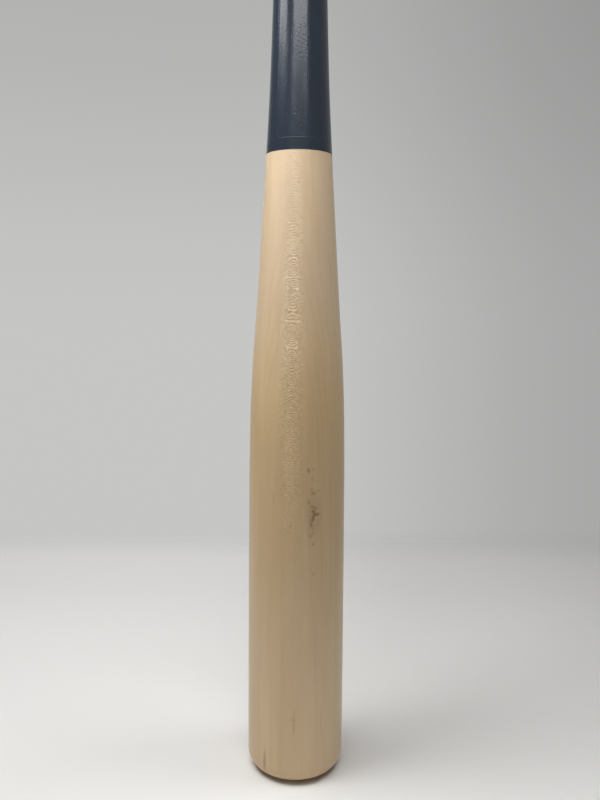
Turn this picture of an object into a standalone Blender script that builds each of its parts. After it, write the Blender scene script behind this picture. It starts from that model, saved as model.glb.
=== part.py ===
"""A one-piece wooden baseball bat, standing on its barrel end.

Three sub-parts, all turned about the Z axis: a maple billet with a cup in its barrel end, a navy lacquer coat over the
handle and the knob, and a clear lacquer coat over the barrel, which laps over the navy coat's lower edge. The coats lie
in a shallow seat in the billet, so that the finished bat has the diameters given below.

Metres, +Z up. The origin is the centre of the rim that the bat stands on. A profile is a list of radius and height
pairs that runs down the outer side of the bat.
"""

import math

import bpy

# Bat, from the barrel end up
BAT_LENGTH = 0.8636
BARREL_DIAMETER = 0.0650
SHOULDER_HEIGHT = 0.200
SHOULDER_DIAMETER = 0.0635
THROAT_HEIGHT = 0.505
THROAT_DIAMETER = 0.0338
WAIST_DIAMETER = 0.0245
WAIST_BELOW_FLARE = 0.070
GRIP_END_DIAMETER = 0.0256

# The two long tapers: share of the way up, and share of the narrowing that is still to come
TAPER_SHAPE = ((0.13, 0.960), (0.25, 0.860), (0.36, 0.700), (0.51, 0.500), (0.67, 0.296), (0.84, 0.112))
HANDLE_SHAPE = ((0.29, 0.610), (0.63, 0.260))

# Knob, and the hollow flare that runs into it
KNOB_DIAMETER = 0.0500
KNOB_RIM_HEIGHT = 0.0035
KNOB_TOP_RADIUS = 0.0060
KNOB_UNDER_RADIUS = 0.0070
FLARE_RADIUS = 0.0160

# Barrel end, and the cup that lightens it
END_RADIUS = 0.0110
CUP_DIAMETER = 0.0340
CUP_DEPTH = 0.0220
CUP_FLOOR_RADIUS = 0.0100
CUP_LIP_RADIUS = 0.0012

# Lacquer coats
NAVY_THICKNESS = 0.0002
CLEAR_THICKNESS = 0.0002
COAT_CLEARANCE = 0.0003
COLOUR_BREAK_HEIGHT = 0.4105
CLEAR_LAP = 0.0075
CLEAR_END_TURN = math.radians(78)

# Fineness of the turned surfaces
TURN_STEPS = 48
ARC_STEP = math.radians(16)
LIP_STEP = math.radians(45)
BARREL_SPAN = 0.050
TAPER_SPAN = 0.028
HANDLE_SPAN = 0.045
GRIP_SPAN = 0.028
SAME_POINT = 0.000001
SHARP_ANGLE = math.radians(35)

# Colours
MAPLE = (0.74, 0.55, 0.35, 1.0)
NAVY = (0.009, 0.014, 0.030, 1.0)
CLEAR = (0.90, 0.78, 0.60, 1.0)


def arc(centre, radius, start, end, step_angle=ARC_STEP):
    """Points of an arc in the profile plane, from one angle to another, both ends included."""
    steps = max(2, math.ceil(abs(end - start) / step_angle))
    angles = [start + (end - start) * step / steps for step in range(steps + 1)]
    return [(centre[0] + radius * math.cos(angle), centre[1] + radius * math.sin(angle)) for angle in angles]


def joined(*runs):
    """One profile from several runs of points, with a point that two runs share taken once."""
    points = []
    for run in runs:
        for point in run:
            if not points or math.dist(point, points[-1]) > SAME_POINT:
                points.append(point)
    return points


def offset(profile, distance):
    """The profile moved outward by a distance, or inward where it is negative, with mitred corners."""
    normals = []
    for (radius, height), (next_radius, next_height) in zip(profile, profile[1:]):
        length = math.hypot(next_radius - radius, next_height - height)
        normals.append(((height - next_height) / length, (next_radius - radius) / length))
    moved = []
    for index, (radius, height) in enumerate(profile):
        before = normals[max(index - 1, 0)]
        after = normals[min(index, len(normals) - 1)]
        reach = distance / (1 + before[0] * after[0] + before[1] * after[1])
        moved.append((radius + reach * (before[0] + after[0]), height + reach * (before[1] + after[1])))
    return moved


def knob_centres():
    """Centres of the arc under the knob's rim and of the flare's hollow arc, which touch each other."""
    under = (KNOB_DIAMETER / 2 - KNOB_UNDER_RADIUS, BAT_LENGTH - KNOB_TOP_RADIUS - KNOB_RIM_HEIGHT)
    outward = GRIP_END_DIAMETER / 2 + FLARE_RADIUS - under[0]
    downward = math.sqrt((KNOB_UNDER_RADIUS + FLARE_RADIUS) ** 2 - outward**2)
    return under, (under[0] + outward, under[1] - downward)


def knob_profile():
    """The knob from the middle of its flat end, round its rim and down the flare to the handle."""
    under, flare = knob_centres()
    top = (KNOB_DIAMETER / 2 - KNOB_TOP_RADIUS, BAT_LENGTH - KNOB_TOP_RADIUS)
    touch = math.atan2(under[1] - flare[1], flare[0] - under[0])
    return joined(
        [(0.0, BAT_LENGTH)],
        arc(top, KNOB_TOP_RADIUS, math.pi / 2, 0.0),
        arc(under, KNOB_UNDER_RADIUS, 0.0, -touch),
        arc(flare, FLARE_RADIUS, math.pi - touch, math.pi),
    )


def stations():
    """Height and diameter at each place that shapes the side of the bat, from the barrel end up to the flare."""
    flare_height = knob_centres()[1][1]
    waist_height = flare_height - WAIST_BELOW_FLARE
    places = [(END_RADIUS, BARREL_DIAMETER), (SHOULDER_HEIGHT, SHOULDER_DIAMETER)]
    for way, left in TAPER_SHAPE:
        height = SHOULDER_HEIGHT + way * (THROAT_HEIGHT - SHOULDER_HEIGHT)
        places.append((height, THROAT_DIAMETER + left * (SHOULDER_DIAMETER - THROAT_DIAMETER)))
    places.append((THROAT_HEIGHT, THROAT_DIAMETER))
    for way, left in HANDLE_SHAPE:
        height = THROAT_HEIGHT + way * (waist_height - THROAT_HEIGHT)
        places.append((height, WAIST_DIAMETER + left * (THROAT_DIAMETER - WAIST_DIAMETER)))
    places.append((waist_height, WAIST_DIAMETER))
    places.append((flare_height, GRIP_END_DIAMETER))
    return places


def station_slopes(places):
    """Slope of the side at each station: none at the ends and at a turn, and never enough to overshoot."""
    steps = [after[0] - before[0] for before, after in zip(places, places[1:])]
    rises = [(after[1] - before[1]) / step for before, after, step in zip(places, places[1:], steps)]
    slopes = [0.0]
    for step, next_step, rise, next_rise in zip(steps, steps[1:], rises, rises[1:]):
        if rise * next_rise <= 0:
            slopes.append(0.0)
            continue
        weight = 2 * next_step + step
        next_weight = next_step + 2 * step
        slopes.append((weight + next_weight) / (weight / rise + next_weight / next_rise))
    slopes.append(0.0)
    return slopes


def side_radius(height, places, slopes):
    """Radius of the finished bat at a height on its side, on a smooth curve through the stations."""
    index = max(i for i, place in enumerate(places[:-1]) if i == 0 or place[0] <= height)
    (low, low_width), (high, high_width) = places[index], places[index + 1]
    t = (height - low) / (high - low)
    width = (2 * t**3 - 3 * t**2 + 1) * low_width + (3 * t**2 - 2 * t**3) * high_width
    width += (t**3 - 2 * t**2 + t) * (high - low) * slopes[index]
    width += (t**3 - t**2) * (high - low) * slopes[index + 1]
    return width / 2


def coat_marks():
    """Heights of the clear coat's upper edge, of the colour break, and of the clear coat's bend just below it."""
    bend_top = COLOUR_BREAK_HEIGHT - COAT_CLEARANCE
    bend_foot = bend_top - COAT_CLEARANCE - CLEAR_THICKNESS
    return COLOUR_BREAK_HEIGHT + CLEAR_LAP, COLOUR_BREAK_HEIGHT, bend_top, bend_foot


def side_profile():
    """The side of the finished bat, from just under the flare down to just above the end rounding."""
    places = stations()
    slopes = station_slopes(places)
    marks = coat_marks()
    limits = (END_RADIUS, SHOULDER_HEIGHT, THROAT_HEIGHT, places[-2][0], places[-1][0])
    heights = list(marks)
    for low, high, span in zip(limits, limits[1:], (BARREL_SPAN, TAPER_SPAN, HANDLE_SPAN, GRIP_SPAN)):
        count = max(1, round((high - low) / span))
        rings = [low + (high - low) * ring / count for ring in range(1, count + 1)]
        heights += [ring for ring in rings if min(abs(ring - mark) for mark in marks) > span / 4]
    return [(side_radius(height, places, slopes), height) for height in sorted(heights, reverse=True)]


def finished_profile():
    """The outside of the finished bat: the run that the coats cover, and the bare rim below it."""
    centre = (BARREL_DIAMETER / 2 - END_RADIUS, END_RADIUS)
    bare_turn = CLEAR_END_TURN + COAT_CLEARANCE / END_RADIUS
    covered = joined(knob_profile(), side_profile(), arc(centre, END_RADIUS, 0.0, -CLEAR_END_TURN))
    bare = arc(centre, END_RADIUS, -bare_turn, -math.pi / 2)
    return covered, bare


def cup_profile():
    """The cup in the barrel end, from its lip on the rim up to the middle of its floor."""
    radius = CUP_DIAMETER / 2
    lip = (radius + CUP_LIP_RADIUS, CUP_LIP_RADIUS)
    floor = (radius - CUP_FLOOR_RADIUS, CUP_DEPTH - CUP_FLOOR_RADIUS)
    return joined(
        arc(lip, CUP_LIP_RADIUS, -math.pi / 2, -math.pi, LIP_STEP),
        arc(floor, CUP_FLOOR_RADIUS, 0.0, math.pi / 2),
        [(0.0, CUP_DEPTH)],
    )


def billet_profile():
    """The whole billet: seated below each coat, at full size on the bare rim, and hollowed by the cup."""
    covered, bare = finished_profile()
    seat_step = coat_marks()[2]
    navy_seat = offset(covered, -NAVY_THICKNESS - COAT_CLEARANCE)
    clear_seat = offset(covered + bare[:1], -CLEAR_THICKNESS - COAT_CLEARANCE)
    upper = [seat for seat, point in zip(navy_seat, covered) if point[1] >= seat_step]
    lower = [seat for seat, point in zip(clear_seat, covered + bare[:1]) if point[1] <= seat_step]
    return joined(upper, lower, bare, cup_profile())


def navy_profile():
    """The navy coat, which is open at the colour break: down its outside, then up its inside."""
    colour_break = coat_marks()[1]
    outside = [point for point in finished_profile()[0] if point[1] >= colour_break]
    inside = offset(outside, -NAVY_THICKNESS)
    return outside + inside[::-1]


def clear_profile():
    """The clear coat: over the navy coat in the lap, then bent in to the wood, as a closed loop."""
    lap_edge, _, bend_top, _ = coat_marks()
    surface = [point for point in finished_profile()[0] if point[1] <= lap_edge]
    over_outside = offset(surface, COAT_CLEARANCE + CLEAR_THICKNESS)
    over_inside = offset(surface, COAT_CLEARANCE)
    low_inside = offset(surface, -CLEAR_THICKNESS)
    lap_points = sum(1 for point in surface if point[1] >= bend_top)
    outside = over_outside[:lap_points] + surface[lap_points:]
    inside = over_inside[:lap_points] + low_inside[lap_points:]
    return outside + inside[::-1]


def look(name, colour, roughness, coat=0.0, alpha=1.0):
    """A material with one colour, its gloss and, for a clear film, how much of it shows."""
    material = bpy.data.materials.new(name)
    material.use_nodes = True
    shader = material.node_tree.nodes["Principled BSDF"]
    shader.inputs["Base Color"].default_value = colour
    shader.inputs["Roughness"].default_value = roughness
    shader.inputs["Metallic"].default_value = 0.0
    shader.inputs["Coat Weight"].default_value = coat
    shader.inputs["Alpha"].default_value = alpha
    material.diffuse_color = (*colour[:3], alpha)
    return material


def turned(name, profile, material, collection, closed=False):
    """A named object turned from its profile about the Z axis."""
    outline = bpy.data.meshes.new(name)
    edges = [(index, index + 1) for index in range(len(profile) - 1)]
    if closed:
        edges.append((len(profile) - 1, 0))
    outline.from_pydata([(radius, 0.0, height) for radius, height in profile], edges, [])
    piece = bpy.data.objects.new(name, outline)
    collection.objects.link(piece)
    screw = piece.modifiers.new("Turn", "SCREW")
    screw.angle = math.tau
    screw.steps = TURN_STEPS
    screw.render_steps = TURN_STEPS
    screw.use_normal_calculate = True
    screw.use_merge_vertices = True
    screw.merge_threshold = SAME_POINT
    mesh = bpy.data.meshes.new_from_object(piece.evaluated_get(bpy.context.evaluated_depsgraph_get()))
    piece.modifiers.clear()
    piece.data = mesh
    bpy.data.meshes.remove(outline)
    mesh.name = name
    mesh.shade_smooth()
    mesh.set_sharp_from_angle(angle=SHARP_ANGLE)
    mesh.materials.append(material)
    return piece


def main():
    for existing in list(bpy.data.objects):
        bpy.data.objects.remove(existing)
    bat = bpy.data.collections.new("baseball_bat")
    bpy.context.scene.collection.children.link(bat)
    turned("maple_billet", billet_profile(), look("maple", MAPLE, 0.45), bat)
    turned("navy_handle_coat", navy_profile(), look("navy_lacquer", NAVY, 0.35, coat=0.4), bat)
    turned("clear_barrel_coat", clear_profile(), look("clear_lacquer", CLEAR, 0.2, alpha=0.25), bat, closed=True)


main()
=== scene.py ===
"""Looks of a one-piece wooden baseball bat: pale maple under clear lacquer, with a navy handle and knob.

Metres, in the frame of the CAD model: +Z runs up the bat, the photograph is taken from -Y, and +X is to its
right. A profile is a list of radius and height pairs that runs down the outer side of the bat.
"""

import math

import bmesh
import bpy
from mathutils import Matrix, Vector


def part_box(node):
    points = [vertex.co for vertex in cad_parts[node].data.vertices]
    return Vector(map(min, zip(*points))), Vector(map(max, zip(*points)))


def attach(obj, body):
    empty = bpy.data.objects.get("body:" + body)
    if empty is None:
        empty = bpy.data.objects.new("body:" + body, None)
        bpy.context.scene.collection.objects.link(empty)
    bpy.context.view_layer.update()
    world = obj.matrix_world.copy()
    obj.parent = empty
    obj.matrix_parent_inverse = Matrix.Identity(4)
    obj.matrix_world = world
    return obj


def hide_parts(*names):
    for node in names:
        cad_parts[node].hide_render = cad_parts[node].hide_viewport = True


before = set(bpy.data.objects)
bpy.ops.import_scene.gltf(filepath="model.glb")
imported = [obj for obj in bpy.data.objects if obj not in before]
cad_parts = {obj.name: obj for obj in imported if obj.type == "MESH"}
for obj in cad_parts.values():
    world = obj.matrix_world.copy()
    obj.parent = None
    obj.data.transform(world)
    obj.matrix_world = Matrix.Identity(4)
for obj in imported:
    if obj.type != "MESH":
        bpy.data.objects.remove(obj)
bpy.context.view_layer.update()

# Sizes that the CAD model sets
NAVY_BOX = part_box("navy_handle_coat")
CLEAR_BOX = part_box("clear_barrel_coat")
BAT_LENGTH = NAVY_BOX[1].z
COLOUR_BREAK = NAVY_BOX[0].z
LAP_EDGE = CLEAR_BOX[1].z
BARREL_DIAMETER = CLEAR_BOX[1].x - CLEAR_BOX[0].x
KNOB_DIAMETER = NAVY_BOX[1].x - NAVY_BOX[0].x

# Form of the bat between those sizes, as in the CAD model. A shape lists places on a run upward,
# each by the share of the run's height below it and the share of the run's narrowing above it.
SHOULDER_HEIGHT = 0.200
SHOULDER_DIAMETER = 0.0635
THROAT_HEIGHT = 0.505
THROAT_DIAMETER = 0.0338
WAIST_DIAMETER = 0.0245
WAIST_BELOW_FLARE = 0.070
GRIP_END_DIAMETER = 0.0256
TAPER_SHAPE = ((0.13, 0.960), (0.25, 0.860), (0.36, 0.700), (0.51, 0.500), (0.67, 0.296), (0.84, 0.112))
HANDLE_SHAPE = ((0.29, 0.610), (0.63, 0.260))
KNOB_RIM_HEIGHT = 0.0035
KNOB_TOP_RADIUS = 0.0060
KNOB_UNDER_RADIUS = 0.0070
FLARE_RADIUS = 0.0160
END_RADIUS = 0.0110
CUP_DIAMETER = 0.0340
CUP_DEPTH = 0.0220
CUP_FLOOR_RADIUS = 0.0100
CUP_LIP_RADIUS = 0.0012

# Real lacquer films, thinner than the CAD model's. The clear film steps down to its edge, and from the
# navy film to the wood, over the length of a ramp.
FILM_THICKNESS = 0.00006
CLEAR_THICKNESS = FILM_THICKNESS * 0.8
LAP_RAMP = 0.00012
LAP_RAMP_STEPS = 6
CLEAR_END_TURN = math.radians(84)

# Fineness of the turned meshes
TURN_STEPS = 224
WOOD_STEPS = 128
ARC_STEP = math.radians(4)
LIP_STEP = math.radians(15)
KNOB_FACE_RINGS = (0.0, 0.25, 0.5, 0.75)
RING_SPACING = 0.0030
SAME_POINT = 1e-7
SHARP_ANGLE = math.radians(50)

# Camera of the photograph
PHOTO_LONG_SIDE = 800
FOCAL_PIXELS = 760
SENSOR_WIDTH = 36.0
CAMERA_DISTANCE = 0.4986
CAMERA_HEIGHT = 0.3174
CAMERA_SIDE = 0.0017
CAMERA_PITCH = math.radians(7.24)
CAMERA_ROLL = math.radians(0.44)
NEAREST_SEEN = 0.01
FARTHEST_SEEN = 30.0

# How names end in the values below:
# NOISE is the number of features to the metre, or three such numbers along X, Y and Z.
# SWING is how far a noise moves something to both sides.
# SPAN is a low and a high value, then the results at both where these aren't 0 and 1.
# FADE is a low and a high value alone.
# RELIEF is a share of a material's relief, and RELIEF_DEPTH is the depth of all of it.

# Growth rings round the pith, a line behind the bat's axis
PITH = (0.0104, 0.0743, 0.0)
RING_WIDTH = 0.0023
RING_WAVER_NOISE = (14.0, 14.0, 3.5)
RING_WAVER_SWING = 0.0035
RING_PLACE_NOISE = 150.0
RING_PLACE_SWING = 0.9
LATE_WOOD_SPAN = (0.35, 0.94)
RING_END_SPAN = (0.94, 1.0, 1.0, 0.0)

# The band of fine ripples on the flat-grain face: partly the wood's figure and partly painted highlight, as
# its lighter lines and sparkle are glints put where the lamps reflect. Its turn and its reach are angles
# round the bat's axis. Its pitch is in lines to the metre, its drift in lines and its bow in lines to the
# square metre.
RIPPLE_TURN = math.radians(-7.1)
RIPPLE_REACH = 0.178
RIPPLE_WITHIN_SPAN = (RIPPLE_REACH * 0.45, RIPPLE_REACH * 1.30, 1.0, 0.0)
RIPPLE_BESIDE_SPAN = (RIPPLE_REACH * 0.80, RIPPLE_REACH * 1.90, 1.0, 0.0)
RIPPLE_EDGE_NOISE = (260.0, 260.0, 150.0)
RIPPLE_EDGE_SWING = 0.10
RIPPLE_FOOT_SPAN = (0.12, 0.265)
RIPPLE_TOP_SPAN = (0.335, 0.385, 1.0, 0.45)
RIPPLE_PATCH_NOISE = 75.0
RIPPLE_PATCH_SPAN = (0.34, 0.52, 0.45, 1.0)
RIPPLE_BREAK_NOISE = (330.0, 330.0, 300.0)
RIPPLE_BREAK_SPAN = (0.36, 0.56, 0.35, 1.0)
RIPPLE_PITCH = 620.0
RIPPLE_DRIFT = 3.0
RIPPLE_DRIFT_NOISE = 45.0
RIPPLE_BOW = 1.35e5
RIPPLE_BOW_NOISE = 60.0
RIPPLE_BOW_SPAN = (0.40, 0.60, -RIPPLE_BOW, RIPPLE_BOW)
RIPPLE_STIR_NOISE = (380.0, 380.0, 520.0)
RIPPLE_STIR_SWING = 0.33
RIPPLE_LINE_SPAN = (-0.3, 1.0)
SPARKLE_NOISE = (480.0, 480.0, 1000.0)
SPARKLE_SPAN = (0.30, 0.70, -1.0, 1.0)

# Small mineral marks: height, arc from the front, half height, half width and darkness of each
MARKS = (
    (0.2133, 0.0074, 0.0014, 0.0009, 0.50),
    (0.2141, 0.0107, 0.0010, 0.0010, 0.18),
    (0.2075, 0.0099, 0.0026, 0.0006, 0.25),
    (0.2065, 0.0130, 0.0006, 0.0008, 0.35),
    (0.2010, 0.0095, 0.0010, 0.0009, 0.35),
    (0.1984, 0.0109, 0.0013, 0.0017, 0.50),
    (0.2000, 0.0140, 0.0008, 0.0012, 0.28),
    (0.1931, 0.0078, 0.0015, 0.0007, 0.50),
    (0.1900, 0.0100, 0.0013, 0.0011, 0.50),
    (0.1889, 0.0123, 0.0011, 0.0015, 0.70),
    (0.1867, 0.0111, 0.0015, 0.0013, 0.86),
    (0.1847, 0.0128, 0.0011, 0.0023, 0.86),
    (0.1850, 0.0143, 0.0008, 0.0009, 0.70),
    (0.1830, 0.0110, 0.0014, 0.0012, 0.86),
    (0.1811, 0.0101, 0.0012, 0.0017, 0.84),
    (0.1781, 0.0094, 0.0012, 0.0010, 0.80),
    (0.1795, 0.0142, 0.0024, 0.0006, 0.28),
    (0.1757, 0.0111, 0.0007, 0.0016, 0.32),
    (0.1724, 0.0111, 0.0014, 0.0008, 0.45),
    (0.1709, 0.0093, 0.0012, 0.0011, 0.40),
    (0.1652, 0.0109, 0.0010, 0.0009, 0.40),
    (0.1840, 0.0115, 0.0130, 0.0045, 0.22),
    (0.1942, -0.0152, 0.0030, 0.0005, 0.35),
    (0.1777, -0.0037, 0.0009, 0.0006, 0.38),
    (0.1731, -0.0037, 0.0008, 0.0006, 0.32),
    (0.1458, 0.0114, 0.0011, 0.0010, 0.25),
    (0.0445, -0.0008, 0.0085, 0.0005, 0.32),
    (0.0475, -0.0010, 0.0013, 0.0017, 0.18),
    (0.0140, -0.0217, 0.0066, 0.0011, 0.55),
    (0.0440, 0.0180, 0.0110, 0.0005, 0.14),
)

# How the marks fade out, in half sizes from their middles, and how far their edges are shaken
MARK_FADE = (0.4, 1.7)
MARK_SHAKE_NOISE = 900.0
MARK_SHAKE = (0.0022, 0.0026, 0.0)
MARK_GRIT_NOISE = (1500.0, 1500.0, 700.0)
MARK_GRIT_SPAN = (0.36, 0.56, 0.45, 1.0)

# Maple: its colours, with painted highlight on its ripples and towards the top of the barrel, and how its
# figure shows in its tone and in its relief
MAPLE_LIGHT = (0.735, 0.560, 0.345)
MAPLE_DARK = (0.520, 0.345, 0.178)
MAPLE_LATE = (0.470, 0.300, 0.150)
MINERAL = (0.150, 0.067, 0.012)
FIBRE_NOISE = (1300.0, 1300.0, 32.0)
FIBRE_SWING = 0.12
STREAK_NOISE = (260.0, 260.0, 6.0)
STREAK_SWING = 0.18
CLOUD_NOISE = (32.0, 32.0, 7.0)
CLOUD_SWING = 0.45
GRAIN_NOISE = (1100.0, 1100.0, 750.0)
GRAIN_SWING = 0.10
SIDE_LATE_WOOD = 0.11
END_LATE_WOOD = 0.55
WARM_TINT = (0.98, 0.965, 0.90)
WARM_FOOT_SPAN = (0.08, 0.19)
WARM_TOP_SPAN = (0.24, 0.33, 1.0, 0.0)
# Painted highlight: the wood turns paler and bluer towards the top of the barrel
TOP_HIGHLIGHT_TINT = (0.99, 1.035, 1.16)
TOP_HIGHLIGHT_SPAN = (0.24, 0.35)
# Painted highlight: the ripples' lighter lines and their sparkle are glints put into the colour, paler and
# bluer like a lamp's reflection
RIPPLE_GLINT_TINT = (0.70, 1.00, 1.40)
RIPPLE_TONE_GAIN = 0.58
RIPPLE_TONE_BETWEEN = -0.19
SPARKLE_GLINT_TONE = 0.14
MAPLE_RELIEF_DEPTH = 0.00012
FIBRE_RELIEF = 0.30
RING_RELIEF = -0.15
RIPPLE_RELIEF = 0.70
SPARKLE_RELIEF = 0.15
MAPLE_ROUGHNESS_SPAN = (0.2, 0.8, 0.42, 0.56)
SATIN_ROUGHNESS = 0.32
BARE_COAT = 0.1
CLEAR_COAT = 0.5

# Navy lacquer: its colours alone and under the clear film, and the wood, peel and pits in its relief
NAVY = (0.0155, 0.0225, 0.0360)
NAVY_ROUGHNESS = 0.18
NAVY_RELIEF_DEPTH = 0.00009
LAPPED_NAVY = (0.0150, 0.0225, 0.0345)
LAPPED_ROUGHNESS = 0.16
LAPPED_RELIEF_DEPTH = 0.00002
NAVY_DARKEST = 0.8
NAVY_LIGHTEST = 1.25
NAVY_CLOUD_NOISE = (45.0, 45.0, 12.0)
NAVY_ROUGHNESS_FADE = (0.3, 0.7)
NAVY_ROUGHNESS_SWING = 0.03
NAVY_FIBRE_NOISE = (1100.0, 1100.0, 70.0)
NAVY_FIBRE_RELIEF = 0.45
NAVY_RING_RELIEF = -0.35
PEEL_NOISE = (1350.0, 1350.0, 1000.0)
PEEL_PATCH_NOISE = (90.0, 90.0, 30.0)
PEEL_PATCH_SPAN = (0.44, 0.60, 0.30, 1.0)
PEEL_FOOT_SPAN = (0.435, 0.480, 0.75, 1.0)
PIT_NOISE = (900.0, 900.0, 620.0)
PIT_SPAN = (0.28, 0.40, -1.0, 0.0)
PIT_RELIEF = 0.3
CALM_HANDLE_SPAN = (0.52, 0.78, 1.0, 0.4)

# Stage: a plain pale floor with painted shadow, darker to the right and far off, that fades into a pale
# grey studio over its margins
FLOOR_BACK = 0.56
FLOOR_SIDE = 1.0
FLOOR_FRONT = -0.9
FLOOR_BACK_MARGIN = 0.14
FLOOR_EDGE_MARGIN = 0.3
# Painted shadow: the floor's colour is darker to the right of the bat and a little darker behind it
FLOOR_LEFT = (0.840, 0.833, 0.816)
FLOOR_RIGHT_SHADE = (0.735, 0.729, 0.714)
FLOOR_RIGHT_SHADE_SPAN = (-0.10, 0.16)
FLOOR_NEAR_SPAN = (-0.07, 0.02, 0.3, 1.0)
FLOOR_FAR_SHADE = (0.94, 0.94, 0.94)
FLOOR_FAR_SHADE_SPAN = (0.0, 0.15)
FLOOR_FARTHEST_SPAN = (0.30, 0.43, 1.0, 0.1)
FLOOR_ROUGHNESS = 0.75
FLOOR_GLOSS = 0.2
STUDIO = (0.560, 0.566, 0.556)
STUDIO_UP_SPAN = (-0.05, 0.42, 1.0, 0.78)
STUDIO_RIGHT_SPAN = (-0.06, 0.40, 1.0, 0.70)
STUDIO_LEFT_SPAN = (-0.80, -0.42, 0.36, 1.0)
STUDIO_LAMP = 0.04
WIDE_SPREAD = 180
MIRROR_DISTANCE = 0.50
MIRROR_HEIGHT = 0.17

# Inputs and result of Blender's Mix node when it mixes colours
MIX_SHARE = 0
MIX_FIRST = 6
MIX_SECOND = 7
MIX_RESULT = 2


def arc(centre, radius, start, end, step_angle=ARC_STEP):
    """Points of an arc in the profile plane, from one angle to another, both ends included."""
    steps = max(2, math.ceil(abs(end - start) / step_angle))
    angles = [start + (end - start) * step / steps for step in range(steps + 1)]
    across, up = centre
    return [(across + radius * math.cos(angle), up + radius * math.sin(angle)) for angle in angles]


def joined(*runs):
    """One profile from several runs of points, with a point that two runs share taken once."""
    points = []
    for run in runs:
        for point in run:
            if not points or math.dist(point, points[-1]) > SAME_POINT:
                points.append(point)
    return points


def offset(profile, distances):
    """The profile moved outward by a distance at each point, or inward where it is negative."""
    normals = []
    for (radius, height), (next_radius, next_height) in zip(profile, profile[1:]):
        length = math.hypot(next_radius - radius, next_height - height)
        normals.append(((height - next_height) / length, (next_radius - radius) / length))
    moved = []
    for index, ((radius, height), distance) in enumerate(zip(profile, distances)):
        before = normals[max(index - 1, 0)]
        after = normals[min(index, len(normals) - 1)]
        reach = distance / (1 + before[0] * after[0] + before[1] * after[1])
        moved.append((radius + reach * (before[0] + after[0]), height + reach * (before[1] + after[1])))
    return moved


def knob_centres():
    """Centres of the arc under the knob's rim and of the flare's hollow arc, which touch each other."""
    under = (KNOB_DIAMETER / 2 - KNOB_UNDER_RADIUS, BAT_LENGTH - KNOB_TOP_RADIUS - KNOB_RIM_HEIGHT)
    outward = GRIP_END_DIAMETER / 2 + FLARE_RADIUS - under[0]
    downward = math.sqrt((KNOB_UNDER_RADIUS + FLARE_RADIUS) ** 2 - outward**2)
    return under, (under[0] + outward, under[1] - downward)


def knob_profile():
    """The knob from the middle of its flat end, round its rim and down the flare to the handle."""
    under, flare = knob_centres()
    top = (KNOB_DIAMETER / 2 - KNOB_TOP_RADIUS, BAT_LENGTH - KNOB_TOP_RADIUS)
    touch = math.atan2(under[1] - flare[1], flare[0] - under[0])
    face = [(top[0] * share, BAT_LENGTH) for share in KNOB_FACE_RINGS]
    return joined(
        face,
        arc(top, KNOB_TOP_RADIUS, math.pi / 2, 0.0),
        arc(under, KNOB_UNDER_RADIUS, 0.0, -touch),
        arc(flare, FLARE_RADIUS, math.pi - touch, math.pi),
    )


def stations():
    """Height and diameter at each place that shapes the bat's side, from the barrel end up to the flare."""
    flare_height = knob_centres()[1][1]
    waist_height = flare_height - WAIST_BELOW_FLARE
    places = [(END_RADIUS, BARREL_DIAMETER), (SHOULDER_HEIGHT, SHOULDER_DIAMETER)]
    for way, left in TAPER_SHAPE:
        height = SHOULDER_HEIGHT + way * (THROAT_HEIGHT - SHOULDER_HEIGHT)
        places.append((height, THROAT_DIAMETER + left * (SHOULDER_DIAMETER - THROAT_DIAMETER)))
    places.append((THROAT_HEIGHT, THROAT_DIAMETER))
    for way, left in HANDLE_SHAPE:
        height = THROAT_HEIGHT + way * (waist_height - THROAT_HEIGHT)
        places.append((height, WAIST_DIAMETER + left * (THROAT_DIAMETER - WAIST_DIAMETER)))
    places.append((waist_height, WAIST_DIAMETER))
    places.append((flare_height, GRIP_END_DIAMETER))
    return places


def station_slopes(places):
    """Slope of the side at each station: none at the ends and at a turn, and never enough to overshoot."""
    steps = [after[0] - before[0] for before, after in zip(places, places[1:])]
    rises = [(after[1] - before[1]) / step for before, after, step in zip(places, places[1:], steps)]
    slopes = [0.0]
    for step, next_step, rise, next_rise in zip(steps, steps[1:], rises, rises[1:]):
        if rise * next_rise <= 0:
            slopes.append(0.0)
            continue
        weight = 2 * next_step + step
        next_weight = next_step + 2 * step
        slopes.append((weight + next_weight) / (weight / rise + next_weight / next_rise))
    slopes.append(0.0)
    return slopes


PLACES = stations()
SLOPES = station_slopes(PLACES)
FLARE_HEIGHT = PLACES[-1][0]


def side_radius(height):
    """Radius of the finished bat at a height on its side, on a smooth curve through the stations."""
    index = max(i for i, place in enumerate(PLACES[:-1]) if i == 0 or place[0] <= height)
    (low, low_width), (high, high_width) = PLACES[index], PLACES[index + 1]
    t = (height - low) / (high - low)
    width = (2 * t**3 - 3 * t**2 + 1) * low_width + (3 * t**2 - 2 * t**3) * high_width
    width += (t**3 - 2 * t**2 + t) * (high - low) * SLOPES[index]
    width += (t**3 - t**2) * (high - low) * SLOPES[index + 1]
    return width / 2


def side_run(top, foot, spacing=RING_SPACING):
    """The side of the bat from one height down to another, both ends included."""
    count = max(1, math.ceil((top - foot) / spacing))
    heights = [top + (foot - top) * ring / count for ring in range(count + 1)]
    return [(side_radius(height), height) for height in heights]


def crisp_run(top, foot):
    """A run of the side with a short step at both ends, so that a bend beside it doesn't shade into it."""
    return joined(
        side_run(top, top - LAP_RAMP, LAP_RAMP),
        side_run(top - LAP_RAMP, foot + LAP_RAMP),
        side_run(foot + LAP_RAMP, foot, LAP_RAMP),
    )


def end_arc(start, end):
    """The rounding of the barrel end between two angles below level."""
    return arc((BARREL_DIAMETER / 2 - END_RADIUS, END_RADIUS), END_RADIUS, -start, -end)


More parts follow.
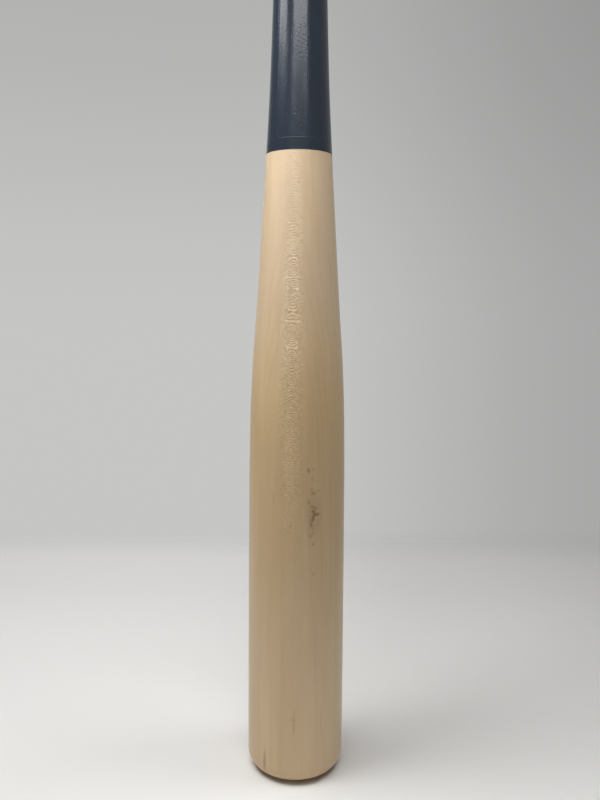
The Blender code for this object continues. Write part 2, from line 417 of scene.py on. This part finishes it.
def cup_profile():
    """The cup in the barrel end, from its lip on the rim up to the middle of its floor."""
    radius = CUP_DIAMETER / 2
    lip = (radius + CUP_LIP_RADIUS, CUP_LIP_RADIUS)
    floor = (radius - CUP_FLOOR_RADIUS, CUP_DEPTH - CUP_FLOOR_RADIUS)
    return joined(
        arc(lip, CUP_LIP_RADIUS, -math.pi / 2, -math.pi, LIP_STEP),
        arc(floor, CUP_FLOOR_RADIUS, 0.0, math.pi / 2),
        [(0.0, CUP_DEPTH)],
    )


def wood_profile():
    """The billet: one film's thickness inside the coats, and at full size on the rim and in the cup."""
    covered = joined(knob_profile(), side_run(FLARE_HEIGHT, END_RADIUS), end_arc(0.0, CLEAR_END_TURN))
    inside = offset(covered, [-2 * FILM_THICKNESS] * len(covered))
    return joined(inside, end_arc(CLEAR_END_TURN, math.pi / 2), cup_profile())


def navy_profile():
    """The navy film over the knob and the handle: down its outside, then up its inside."""
    outside = joined(knob_profile(), side_run(FLARE_HEIGHT, COLOUR_BREAK))
    inside = offset(outside, [-FILM_THICKNESS] * len(outside))
    return outside + inside[::-1]


def lap_rise(height):
    """How far the clear film stands out of the bat's side: one film where it laps over the navy."""
    if height >= LAP_EDGE - LAP_RAMP:
        share = (LAP_EDGE - height) / LAP_RAMP
    elif height >= COLOUR_BREAK:
        share = 1.0
    else:
        share = max(0.0, 1 - (COLOUR_BREAK - height) / LAP_RAMP)
    return FILM_THICKNESS * (3 * share**2 - 2 * share**3)


def clear_profile():
    """The clear film: down its outside from its edge on the navy film to the rim, then up its inside."""
    ramp_foot = LAP_EDGE - LAP_RAMP
    bend_foot = COLOUR_BREAK - LAP_RAMP
    surface = joined(
        side_run(LAP_EDGE, ramp_foot, LAP_RAMP / LAP_RAMP_STEPS),
        crisp_run(ramp_foot, COLOUR_BREAK),
        side_run(COLOUR_BREAK, bend_foot, LAP_RAMP / LAP_RAMP_STEPS),
        crisp_run(bend_foot, END_RADIUS),
        end_arc(0.0, CLEAR_END_TURN),
    )
    rises = [lap_rise(height) for _, height in surface]
    outside = offset(surface, rises)
    inside = offset(surface, [rise - CLEAR_THICKNESS for rise in rises])
    return outside + inside[::-1]


def placed(name, data):
    """A new object in the scene that holds the data."""
    thing = bpy.data.objects.new(name, data)
    bpy.context.scene.collection.objects.link(thing)
    return thing


def turned(name, profile, steps, closed=False):
    """A mesh object turned from its profile about the Z axis. Closed, the last point joins the first."""
    bm = bmesh.new()
    angles = [math.tau * step / steps for step in range(steps)]
    rings = []
    for radius, height in profile:
        places = [(radius * math.cos(angle), radius * math.sin(angle), height) for angle in angles]
        if radius < SAME_POINT:
            places = [(0.0, 0.0, height)]
        rings.append([bm.verts.new(place) for place in places])
    pairs = list(zip(rings, rings[1:]))
    if closed:
        pairs.append((rings[-1], rings[0]))
    for upper, lower in pairs:
        for step in range(steps):
            following = (step + 1) % steps
            corners = [upper[step % len(upper)], lower[step % len(lower)]]
            if len(lower) > 1:
                corners.append(lower[following])
            if len(upper) > 1:
                corners.append(upper[following])
            face = bm.faces.new(corners)
            face.smooth = True
    bm.normal_update()
    mesh = bpy.data.meshes.new(name)
    bm.to_mesh(mesh)
    bm.free()
    mesh.set_sharp_from_angle(angle=SHARP_ANGLE)
    return placed(name, mesh)


def make_camera():
    """The photograph's camera: level with the taper and pitched down a little."""
    data = bpy.data.cameras.new("photo_camera")
    data.sensor_fit = "AUTO"
    data.sensor_width = SENSOR_WIDTH
    data.lens = FOCAL_PIXELS * SENSOR_WIDTH / PHOTO_LONG_SIDE
    data.clip_start = NEAREST_SEEN
    data.clip_end = FARTHEST_SEEN
    camera = placed("photo_camera", data)
    place = Matrix.Translation((CAMERA_SIDE, -CAMERA_DISTANCE, CAMERA_HEIGHT))
    aim = Matrix.Rotation(math.pi / 2 - CAMERA_PITCH, 4, "X") @ Matrix.Rotation(CAMERA_ROLL, 4, "Z")
    camera.matrix_world = place @ aim
    bpy.context.scene.camera = camera


def opaque(colour):
    """The colour with full alpha, as a colour socket takes it."""
    return (*colour, 1.0)


class Nodes:
    """A node tree, grown one node at a time. An input takes a number, a colour or another node's socket."""

    def __init__(self, tree):
        self.tree = tree

    def add(self, kind, inputs=(), out=0, **settings):
        """One of the outputs of a new node with these inputs and settings."""
        node = self.tree.nodes.new(kind)
        for name, value in settings.items():
            setattr(node, name, value)
        for name, value in dict(inputs).items():
            self.feed(node.inputs[name], value)
        return node.outputs[out]

    def feed(self, socket, value):
        """Links the value to the socket, or sets it there if it is a constant."""
        if isinstance(value, bpy.types.NodeSocket):
            self.tree.links.new(value, socket)
        else:
            socket.default_value = value

    def math(self, operation, *values):
        """A number worked out from others."""
        return self.add("ShaderNodeMath", dict(enumerate(values)), operation=operation)

    def total(self, first, *others):
        """The numbers added up."""
        for other in others:
            first = self.math("ADD", first, other)
        return first

    def product(self, first, *others):
        """The numbers multiplied together."""
        for other in others:
            first = self.math("MULTIPLY", first, other)
        return first

    def vector(self, operation, *values, out=0):
        """A vector or a number worked out from vectors."""
        return self.add("ShaderNodeVectorMath", dict(enumerate(values)), out, operation=operation)

    def span(self, value, low, high, to_low=0.0, to_high=1.0):
        """The value's way from low to high, eased at both ends and held beyond them."""
        inputs = {"Value": value, "From Min": low, "From Max": high, "To Min": to_low, "To Max": to_high}
        return self.add("ShaderNodeMapRange", inputs, interpolation_type="SMOOTHSTEP")

    def noise(self, place, stretch, detail=2.0):
        """Noise between 0 and 1 with a number of features to the metre along each axis."""
        inputs = {"Vector": self.vector("MULTIPLY", place, stretch), "Scale": 1.0, "Detail": detail}
        return self.add("ShaderNodeTexNoise", inputs)

    def line_noise(self, value, scale, detail=1.0):
        """Noise between 0 and 1 along one number, with a number of features to the metre."""
        inputs = {"W": value, "Scale": scale, "Detail": detail}
        return self.add("ShaderNodeTexNoise", inputs, noise_dimensions="1D")

    def swing(self, noise, amount):
        """Noise between 0 and 1 made to swing by an amount to both sides of 0."""
        return self.math("MULTIPLY_ADD", noise, 2 * amount, -amount)

    def blend(self, share, first, second):
        """The first colour where the share is 0 and the second where it is 1."""
        inputs = {MIX_SHARE: share, MIX_FIRST: first, MIX_SECOND: second}
        return self.add("ShaderNodeMix", inputs, MIX_RESULT, data_type="RGBA")

    def tinted(self, share, colour, tint):
        """The colour, multiplied by the tint where the share is 1."""
        return self.blend(share, colour, self.vector("MULTIPLY", colour, tint))

    def bump(self, height, distance):
        """The surface normal over a relief that is a distance high."""
        inputs = {"Height": height, "Distance": distance, "Strength": 1.0}
        return self.add("ShaderNodeBump", inputs)


def new_material(name):
    """A new material, with its node tree and its shader."""
    material = bpy.data.materials.new(name)
    material.use_nodes = True
    return material, Nodes(material.node_tree), material.node_tree.nodes["Principled BSDF"]


class Spot:
    """Where a shaded point is on the bat: its height, radius, and turn and arc from the front."""

    def __init__(self, nodes):
        self.place = nodes.add("ShaderNodeTexCoord", out="Object")
        split = nodes.add("ShaderNodeSeparateXYZ", {"Vector": self.place}).node.outputs
        self.height = split["Z"]
        back = nodes.math("MULTIPLY", split["Y"], -1.0)
        self.turn = nodes.math("ARCTAN2", split["X"], back)
        self.across = nodes.vector("MULTIPLY", self.place, (1.0, 1.0, 0.0))
        self.radius = nodes.vector("LENGTH", self.across, out="Value")
        self.arc = nodes.product(self.turn, self.radius)


def growth_rings(nodes, spot):
    """Late wood, from 0 to 1: thin lines round the pith, each with a soft and a sharp side."""
    waver = nodes.swing(nodes.noise(spot.place, RING_WAVER_NOISE), RING_WAVER_SWING)
    depth = nodes.total(nodes.vector("DISTANCE", spot.across, PITH, out="Value"), waver)
    uneven = nodes.swing(nodes.line_noise(depth, RING_PLACE_NOISE), RING_PLACE_SWING)
    way = nodes.math("FRACT", nodes.total(nodes.product(depth, 1 / RING_WIDTH), uneven))
    return nodes.product(nodes.span(way, *LATE_WOOD_SPAN), nodes.span(way, *RING_END_SPAN))


def ripple_band(nodes, spot):
    """How much the ripples' lines show at this place, and how much the sparkle in and beside them does; in
    the colour both are partly painted highlight.
    """
    edge = nodes.swing(nodes.noise(spot.place, RIPPLE_EDGE_NOISE, detail=1.0), RIPPLE_EDGE_SWING)
    aside = nodes.math("SUBTRACT", spot.turn, RIPPLE_TURN)
    off = nodes.total(nodes.math("ABSOLUTE", aside), edge)
    within = nodes.span(off, *RIPPLE_WITHIN_SPAN)
    beside = nodes.span(off, *RIPPLE_BESIDE_SPAN)
    foot = nodes.span(spot.height, *RIPPLE_FOOT_SPAN)
    rise = nodes.product(foot, nodes.span(spot.height, *RIPPLE_TOP_SPAN))
    patches = nodes.span(nodes.line_noise(spot.height, RIPPLE_PATCH_NOISE, detail=2.0), *RIPPLE_PATCH_SPAN)
    breaks = nodes.span(nodes.noise(spot.place, RIPPLE_BREAK_NOISE, detail=1.0), *RIPPLE_BREAK_SPAN)
    return nodes.product(within, rise, patches, breaks), nodes.product(beside, rise)


def ripple_lines(nodes, spot):
    """The ripples' nested bowed lines, from 0 to 1."""
    aside = nodes.math("SUBTRACT", spot.turn, RIPPLE_TURN)
    side = nodes.product(aside, spot.radius)
    bend = nodes.span(nodes.line_noise(spot.height, RIPPLE_BOW_NOISE), *RIPPLE_BOW_SPAN)
    bow = nodes.product(side, side, bend)
    drift = nodes.product(nodes.line_noise(spot.height, RIPPLE_DRIFT_NOISE), RIPPLE_DRIFT)
    climb = nodes.total(nodes.product(spot.height, RIPPLE_PITCH), drift)
    stir = nodes.swing(nodes.noise(spot.place, RIPPLE_STIR_NOISE, detail=1.0), RIPPLE_STIR_SWING)
    wave = nodes.math("SINE", nodes.product(nodes.total(bow, climb, stir), math.tau))
    return nodes.span(wave, *RIPPLE_LINE_SPAN)


def mineral_marks(nodes, spot):
    """How dark the small mineral marks make this place, from 0 to 1, with ragged edges."""
    flat = nodes.add("ShaderNodeCombineXYZ", {"X": spot.arc, "Y": spot.height})
    inputs = {"Vector": spot.place, "Scale": MARK_SHAKE_NOISE, "Detail": 2.0}
    shake = nodes.add("ShaderNodeTexNoise", inputs, "Color")
    shift = nodes.vector("MULTIPLY", nodes.vector("SUBTRACT", shake, (0.5, 0.5, 0.5)), MARK_SHAKE)
    ragged = nodes.vector("ADD", flat, shift)
    total = 0.0
    for height, arc_place, half_height, half_width, darkness in MARKS:
        gap = nodes.vector("SUBTRACT", ragged, (arc_place, height, 0.0))
        gap = nodes.vector("MULTIPLY", gap, (1 / half_width, 1 / half_height, 0.0))
        mark = nodes.span(nodes.vector("LENGTH", gap, out="Value"), *MARK_FADE, darkness, 0.0)
        total = nodes.math("MAXIMUM", total, mark)
    grit = nodes.span(nodes.noise(spot.place, MARK_GRIT_NOISE, detail=1.0), *MARK_GRIT_SPAN)
    return nodes.product(total, grit)


def plain_maple(nodes, spot, fibres, late_wood):
    """Colour of maple without its ripples and marks, from its fibres and how much late wood shows, with a
    painted highlight that makes it paler and bluer towards the top of the barrel.
    """
    streaks = nodes.noise(spot.place, STREAK_NOISE, detail=3.0)
    clouds = nodes.noise(spot.place, CLOUD_NOISE)
    grains = nodes.noise(spot.place, GRAIN_NOISE, detail=1.0)
    tone = nodes.total(
        0.5,
        nodes.swing(fibres, FIBRE_SWING),
        nodes.swing(streaks, STREAK_SWING),
        nodes.swing(clouds, CLOUD_SWING),
        nodes.swing(grains, GRAIN_SWING),
    )
    colour = nodes.blend(tone, opaque(MAPLE_DARK), opaque(MAPLE_LIGHT))
    colour = nodes.blend(late_wood, colour, opaque(MAPLE_LATE))
    foot = nodes.span(spot.height, *WARM_FOOT_SPAN)
    warmth = nodes.product(foot, nodes.span(spot.height, *WARM_TOP_SPAN))
    colour = nodes.tinted(warmth, colour, WARM_TINT)
    # Painted highlight: paler and bluer towards the top of the barrel, where the lamps fall strongest
    return nodes.tinted(nodes.span(spot.height, *TOP_HIGHLIGHT_SPAN), colour, TOP_HIGHLIGHT_TINT)


def with_ripples_and_glints(nodes, colour, ripples, sparkle):
    """The colour with its lighter and darker ripples and their sparkle, in the ripples' own tint: partly
    the wood's figure and partly painted highlight, glints of the lamps put into the colour.
    """
    swell = nodes.total(ripples, nodes.product(sparkle, SPARKLE_GLINT_TONE))
    glint = nodes.add("ShaderNodeVectorMath", {0: RIPPLE_GLINT_TINT, "Scale": swell}, operation="SCALE")
    return nodes.vector("MULTIPLY", colour, nodes.vector("ADD", glint, (1.0, 1.0, 1.0)))


def maple_material(name, coat, late_wood):
    """Maple with its rings, fibres, flecks, ripples and mineral marks, under some satin coat, with painted
    highlight on the ripples and towards the top of the barrel.
    """
    material, nodes, shader = new_material(name)
    spot = Spot(nodes)
    rings = growth_rings(nodes, spot)
    fibres = nodes.noise(spot.place, FIBRE_NOISE, detail=3.0)
    lines = ripple_lines(nodes, spot)
    ripple, speckle = ripple_band(nodes, spot)
    sparkle = nodes.span(nodes.noise(spot.place, SPARKLE_NOISE, detail=1.0), *SPARKLE_SPAN)
    sparkle = nodes.product(sparkle, speckle)
    # Painted highlight: the ripples' lines and the sparkle lighten the colour as glints, over the wood's
    # real figure
    tones = nodes.math("MULTIPLY_ADD", lines, RIPPLE_TONE_GAIN, RIPPLE_TONE_BETWEEN)
    colour = plain_maple(nodes, spot, fibres, nodes.product(rings, late_wood))
    colour = with_ripples_and_glints(nodes, colour, nodes.product(tones, ripple), sparkle)
    colour = nodes.blend(mineral_marks(nodes, spot), colour, opaque(MINERAL))
    nodes.feed(shader.inputs["Base Color"], colour)
    relief = nodes.total(
        nodes.product(fibres, FIBRE_RELIEF),
        nodes.product(rings, RING_RELIEF),
        nodes.product(lines, ripple, RIPPLE_RELIEF),
        nodes.product(sparkle, SPARKLE_RELIEF),
    )
    nodes.feed(shader.inputs["Normal"], nodes.bump(relief, MAPLE_RELIEF_DEPTH))
    nodes.feed(shader.inputs["Roughness"], nodes.span(fibres, *MAPLE_ROUGHNESS_SPAN))
    shader.inputs["Coat Weight"].default_value = coat
    shader.inputs["Coat Roughness"].default_value = SATIN_ROUGHNESS
    return material


def navy_material(name, colour, relief_depth, roughness):
    """Navy lacquer over wood: the grain tells through it faintly, under a fine orange peel."""
    material, nodes, shader = new_material(name)
    spot = Spot(nodes)
    clouds = nodes.noise(spot.place, NAVY_CLOUD_NOISE)
    fibres = nodes.noise(spot.place, NAVY_FIBRE_NOISE)
    peel = nodes.noise(spot.place, PEEL_NOISE, detail=1.0)
    pits = nodes.span(nodes.noise(spot.place, PIT_NOISE, detail=1.0), *PIT_SPAN)
    patches = nodes.span(nodes.noise(spot.place, PEEL_PATCH_NOISE, detail=1.0), *PEEL_PATCH_SPAN)
    patches = nodes.product(patches, nodes.span(spot.height, *PEEL_FOOT_SPAN))
    dark = opaque([NAVY_DARKEST * channel for channel in colour])
    light = opaque([NAVY_LIGHTEST * channel for channel in colour])
    nodes.feed(shader.inputs["Base Color"], nodes.blend(clouds, dark, light))
    relief = nodes.total(
        nodes.product(fibres, NAVY_FIBRE_RELIEF),
        nodes.product(peel, patches),
        nodes.product(pits, patches, PIT_RELIEF),
        nodes.product(growth_rings(nodes, spot), NAVY_RING_RELIEF),
    )
    relief = nodes.product(relief, nodes.span(spot.height, *CALM_HANDLE_SPAN))
    nodes.feed(shader.inputs["Normal"], nodes.bump(relief, relief_depth))
    smoothest = roughness - NAVY_ROUGHNESS_SWING
    roughest = roughness + NAVY_ROUGHNESS_SWING
    nodes.feed(shader.inputs["Roughness"], nodes.span(clouds, *NAVY_ROUGHNESS_FADE, smoothest, roughest))
    return material


def floor_material():
    """Pale floor with painted shadow, darker to the right and far off, that fades out towards its edges."""
    material, nodes, shader = new_material("floor")
    place = nodes.add("ShaderNodeTexCoord", out="Object")
    split = nodes.add("ShaderNodeSeparateXYZ", {"Vector": place}).node.outputs
    aside = nodes.math("ABSOLUTE", split["X"])
    inside = nodes.product(
        nodes.span(split["Y"], FLOOR_BACK - FLOOR_BACK_MARGIN, FLOOR_BACK, 1.0, 0.0),
        nodes.span(split["Y"], FLOOR_FRONT, FLOOR_FRONT + FLOOR_EDGE_MARGIN),
        nodes.span(aside, FLOOR_SIDE - FLOOR_EDGE_MARGIN, FLOOR_SIDE, 1.0, 0.0),
    )
    nodes.feed(shader.inputs["Alpha"], inside)
    # Painted shadow: darker to the right of the bat from just in front of it backward, and a little darker
    # behind it
    right = nodes.span(split["X"], *FLOOR_RIGHT_SHADE_SPAN)
    right = nodes.product(right, nodes.span(split["Y"], *FLOOR_NEAR_SPAN))
    colour = nodes.blend(right, opaque(FLOOR_LEFT), opaque(FLOOR_RIGHT_SHADE))
    far = nodes.span(split["Y"], *FLOOR_FAR_SHADE_SPAN)
    far = nodes.product(far, nodes.span(split["Y"], *FLOOR_FARTHEST_SPAN))
    nodes.feed(shader.inputs["Base Color"], nodes.tinted(far, colour, FLOOR_FAR_SHADE))
    shader.inputs["Roughness"].default_value = FLOOR_ROUGHNESS
    shader.inputs["Specular IOR Level"].default_value = FLOOR_GLOSS
    return material


def make_floor():
    """The floor that the bat stands on."""
    left, right = -FLOOR_SIDE, FLOOR_SIDE
    corners = ((left, FLOOR_FRONT), (right, FLOOR_FRONT), (right, FLOOR_BACK), (left, FLOOR_BACK))
    bm = bmesh.new()
    bm.faces.new([bm.verts.new((x, y, 0.0)) for x, y in corners])
    mesh = bpy.data.meshes.new("floor")
    bm.to_mesh(mesh)
    bm.free()
    mesh.materials.append(floor_material())
    floor = placed("floor", mesh)


def make_world():
    """A pale grey studio, full to the eye and in gloss but dim as a lamp.

    It is darker upward and to the right, and in gloss alone also at the far left.
    """
    world = bpy.data.worlds.new("studio")
    world.use_nodes = True
    bpy.context.scene.world = world
    nodes = Nodes(world.node_tree)
    way = nodes.add("ShaderNodeTexCoord", out="Generated")
    split = nodes.add("ShaderNodeSeparateXYZ", {"Vector": way}).node.outputs
    upward = nodes.span(split["Z"], *STUDIO_UP_SPAN)
    rightward = nodes.span(split["X"], *STUDIO_RIGHT_SPAN)
    paths = nodes.add("ShaderNodeLightPath").node.outputs
    leftward = nodes.math("MAXIMUM", nodes.span(split["X"], *STUDIO_LEFT_SPAN), paths["Is Camera Ray"])
    shade = nodes.product(upward, rightward, leftward)
    seen = nodes.math("MAXIMUM", paths["Is Camera Ray"], paths["Is Glossy Ray"])
    seen = nodes.math("MAXIMUM", seen, paths["Is Transmission Ray"])
    strength = nodes.total(nodes.product(seen, nodes.total(shade, -STUDIO_LAMP)), STUDIO_LAMP)
    background = world.node_tree.nodes["Background"]
    background.inputs["Color"].default_value = opaque(STUDIO)
    nodes.feed(background.inputs["Strength"], strength)


def around(turn, distance, height):
    """A place at a height and a distance from the bat's axis, turned in degrees from the front to +X."""
    turn = math.radians(turn)
    return (distance * math.sin(turn), -distance * math.cos(turn), height)


def panel(name, place, target, size, power, spread=WIDE_SPREAD, glossy=True, diffuse=True):
    """A soft rectangular lamp at a place, turned to face a target, unseen by the camera."""
    data = bpy.data.lights.new(name, "AREA")
    data.shape = "RECTANGLE"
    data.size, data.size_y = size
    data.energy = power
    data.spread = math.radians(spread)
    lamp = placed(name, data)
    lamp.location = place
    lamp.rotation_mode = "QUATERNION"
    lamp.rotation_quaternion = (Vector(target) - Vector(place)).to_track_quat("-Z", "Y")
    lamp.visible_camera = False
    lamp.visible_glossy = glossy
    lamp.visible_diffuse = diffuse


def mirror(name, turn, width, foot, power):
    """An upright panel that only gloss shows, at a turn in degrees, with its foot at a height."""
    middle = foot + MIRROR_HEIGHT / 2
    place = around(turn, MIRROR_DISTANCE, middle)
    panel(name, place, (0.0, 0.0, middle), (width, MIRROR_HEIGHT), power, diffuse=False)


def make_lamps():
    """Softboxes over, beside and behind the bat, and two panels that only the lacquer mirrors."""
    # Name, place, point that it faces, size, watts, spread in degrees, and whether gloss shows it
    softboxes = (
        ("over_left", (-0.30, -0.06, 1.10), (-0.30, -0.06, 0.0), (0.72, 0.50), 6.6, WIDE_SPREAD, True),
        ("over_front", (0.0, -0.40, 1.10), (0.0, -0.40, 0.0), (0.40, 0.40), 2.2, WIDE_SPREAD, True),
        ("over_right", (0.30, 0.0, 1.10), (0.30, 0.0, 0.0), (0.40, 0.40), 0.84, WIDE_SPREAD, True),
        ("high_left", around(-67, 0.40, 0.90), (0.0, 0.0, 0.40), (0.26, 0.20), 2.0, WIDE_SPREAD, False),
        ("high_right", around(88, 0.40, 0.90), (0.0, 0.0, 0.40), (0.26, 0.20), 1.65, WIDE_SPREAD, False),
        ("near_front", around(-28, 0.27, 0.55), (0.0, 0.0, 0.44), (0.24, 0.16), 0.15, 75, False),
        ("over_back", (-0.42, 0.52, 0.80), (-0.42, 0.52, 0.0), (0.50, 0.30), 0.24, 110, False),
        ("low_front", around(8, 0.25, 0.06), (0.0, 0.0, 0.03), (0.16, 0.06), 0.005, 65, False),
        ("behind", (0.0, 0.95, 0.46), (0.0, 0.0, 0.46), (0.30, 0.30), 0.5, 45, False),
    )
    for name, place, target, size, power, spread, glossy in softboxes:
        panel(name, place, target, size, power, spread, glossy)
    mirror("left_mirror", turn=-73.0, width=0.330, foot=0.668, power=1.18)
    mirror("front_mirror", turn=1.2, width=0.540, foot=0.664, power=1.49)


def make_wood():
    """The maple billet, which shows only on its rim and in its cup."""
    wood = turned("maple_stick", wood_profile(), WOOD_STEPS)
    wood.data.materials.append(maple_material("bare_maple", BARE_COAT, END_LATE_WOOD))
    return wood


def make_navy():
    """The navy lacquer on the handle and the knob."""
    navy = turned("navy_lacquer_film", navy_profile(), TURN_STEPS)
    navy.data.materials.append(navy_material("navy_lacquer", NAVY, NAVY_RELIEF_DEPTH, NAVY_ROUGHNESS))
    return navy


def make_clear():
    """The clear lacquer, in the look of what is under it: maple, and navy where it laps over the handle."""
    clear = turned("clear_lacquer_film", clear_profile(), TURN_STEPS, closed=True)
    over_maple = maple_material("lacquered_maple", CLEAR_COAT, SIDE_LATE_WOOD)
    over_navy = navy_material("lacquered_navy", LAPPED_NAVY, LAPPED_RELIEF_DEPTH, LAPPED_ROUGHNESS)
    clear.data.materials.append(over_maple)
    clear.data.materials.append(over_navy)
    for polygon in clear.data.polygons:
        polygon.material_index = 1 if polygon.center.z > COLOUR_BREAK else 0
    return clear


make_camera()
make_floor()
make_world()
make_lamps()

DRESSING = (
    (make_wood(), "maple_billet", "maple"),
    (make_navy(), "navy_handle_coat", "navy_lacquer"),
    (make_clear(), "clear_barrel_coat", "clear_lacquer"),
)
for piece, node, slot in DRESSING:
    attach(piece, "root")
    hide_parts(node)

bpy.context.scene.view_settings.view_transform = "Standard"
